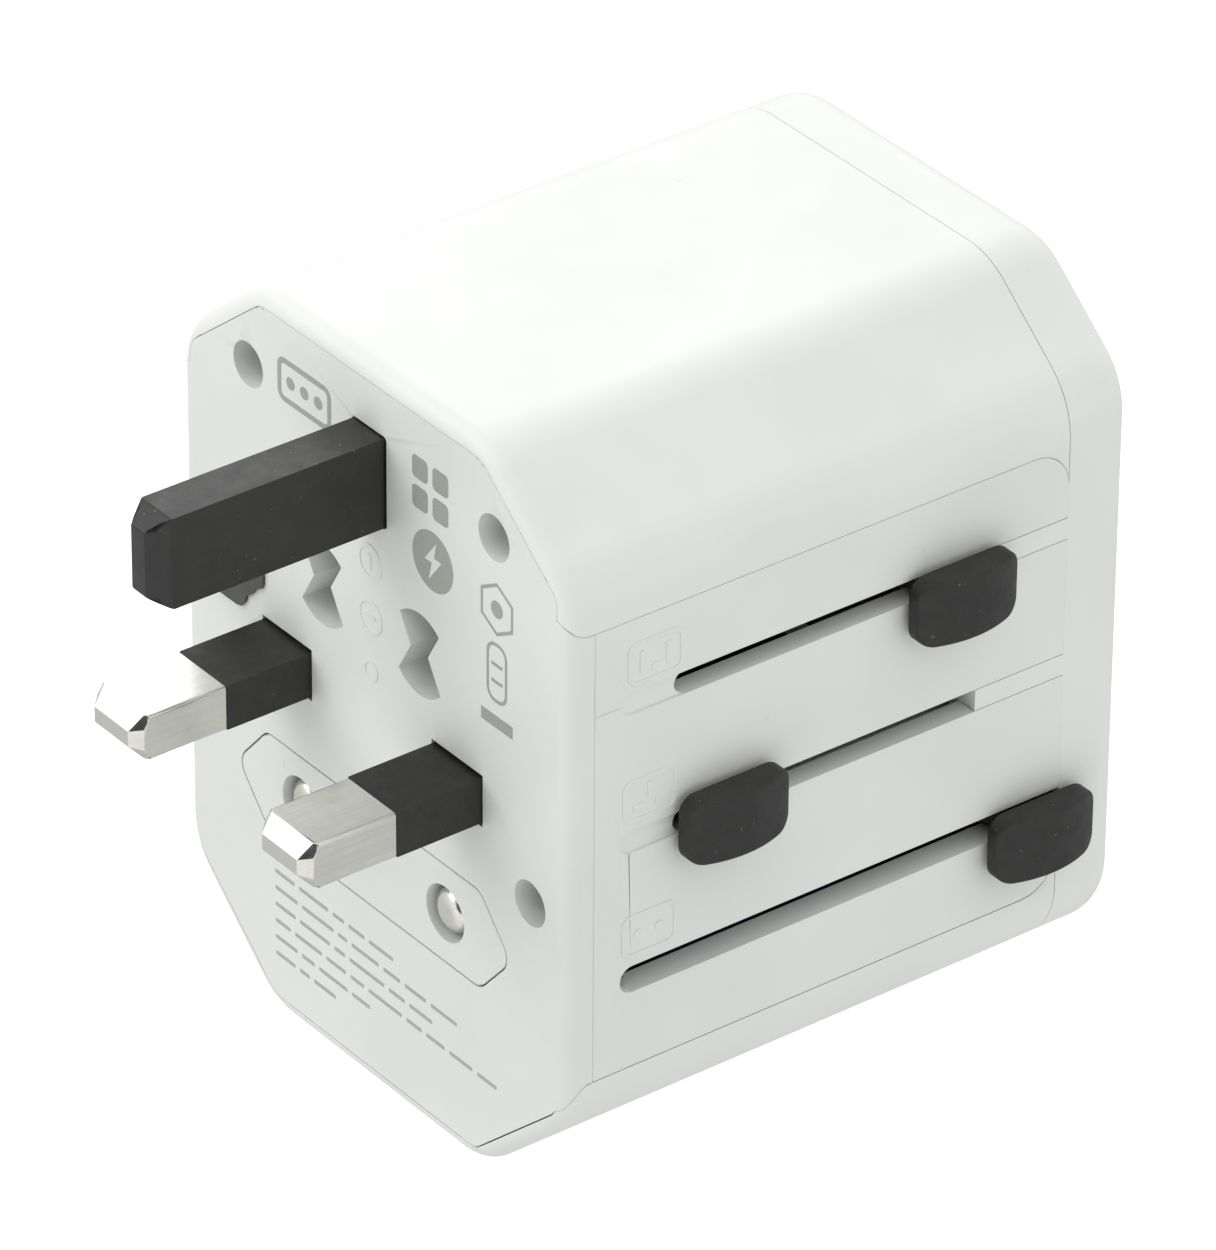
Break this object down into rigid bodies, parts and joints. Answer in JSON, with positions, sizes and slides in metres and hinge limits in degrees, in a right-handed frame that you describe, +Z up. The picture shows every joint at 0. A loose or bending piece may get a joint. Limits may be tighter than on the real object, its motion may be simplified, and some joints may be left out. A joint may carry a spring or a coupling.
{
  "type": "universal travel adapter",
  "caption": "Octagonal white travel plug adapter with slide-out UK, US/AUS and EU plugs driven by black side buttons, and a universal socket with USB outlets.",
  "frame": {"origin": "middle of the flat underside", "axes": "+Z up, plug face toward -Y, slider buttons on the +X side, socket face toward +Y"},
  "size_m": [0.0534, 0.076, 0.0658],
  "materials": {
    "case_white": "satin white moulded ABS",
    "black_plastic": "fine-textured black plastic",
    "nickel": "satin nickel plate over brass",
    "brass": "bare brass strip",
    "steel": "zinc-plated steel",
    "spring_steel": "bright spring wire",
    "nylon_white": "natural nylon",
    "board_green": "solder-masked board",
    "ferrite": "dark ferrite",
    "winding_tape": "yellow polyester tape over copper wire",
    "cap_sleeve": "dark blue printed sleeve",
    "chip_black": "epoxy package",
    "gold": "gold flash contacts",
    "lens": "frosted light pipe",
    "patch_grey": "dark grey adhesive patch"
  },
  "bodies": {
    "case": {"plug_housing": "case_white", "top_shell": "case_white", "bottom_shell": "case_white", "socket_ring": "case_white", "socket_face": "case_white", "contact_block": "nylon_white", "pole_contacts": "brass", "supply_strips": "brass", "case_screws": "steel", "charger_board": "board_green", "usb_shells": "steel", "usb_tongues": "nylon_white", "usb_contacts": "gold", "transformer_core": "ferrite", "transformer_winding": "winding_tape", "capacitors": "cap_sleeve", "chips": "chip_black", "board_screws": "steel", "indicator_lens": "lens", "face_patch": "patch_grey", "shutter_spring": "spring_steel"},
    "shutter_plate": {"shutter": "nylon_white"},
    "us_slider": {"us_button": "black_plastic", "us_carrier": "black_plastic", "us_retainer": "black_plastic"},
    "us_left": {"us_rotor_left": "nylon_white", "us_blade_left": "nickel"},
    "us_right": {"us_rotor_right": "nylon_white", "us_blade_right": "nickel"},
    "uk_slider": {"uk_button": "black_plastic", "uk_carrier": "black_plastic", "uk_pins": "nickel", "uk_sleeves": "black_plastic", "uk_earth_pin": "black_plastic"},
    "eu_block": {"eu_island": "case_white"},
    "eu_slider": {"eu_button": "black_plastic", "eu_carrier": "black_plastic", "eu_pins": "nickel", "eu_sleeves": "black_plastic"}
  },
  "joints": [
    {"name": "shutter_slide", "type": "slide", "parent": "case", "child": "shutter_plate", "axis": [0, 0, -1], "range_m": [0, 0.009], "stiffness_N_per_m": 40, "springref_m": -0.004, "deforming": ["shutter_spring"]},
    {"name": "us_slide", "type": "slide", "parent": "case", "child": "us_slider", "axis": [0, -1, 0], "range_m": [0, 0.02295]},
    {"name": "us_twist_left", "type": "hinge", "parent": "us_slider", "child": "us_left", "pos_m": [-0.0063, 0.0055, 0.0435], "axis": [0, -1, 0], "range_deg": [-30, 30]},
    {"name": "us_twist_right", "type": "hinge", "parent": "us_slider", "child": "us_right", "pos_m": [0.0063, 0.0055, 0.0435], "axis": [0, -1, 0], "range_deg": [-30, 30]},
    {"name": "uk_slide", "type": "slide", "parent": "case", "child": "uk_slider", "axis": [0, -1, 0], "range_m": [-0.0219, 0.0009]},
    {"name": "eu_block_slide", "type": "slide", "parent": "case", "child": "eu_block", "axis": [0, -1, 0], "range_m": [0, 0.01695]},
    {"name": "eu_pin_slide", "type": "slide", "parent": "eu_block", "child": "eu_slider", "axis": [0, -1, 0], "range_m": [0, 0.0196]}
  ],
  "couplings": [
    {"joint": "us_twist_right", "follows": "us_twist_left", "ratio": -1}
  ]
}
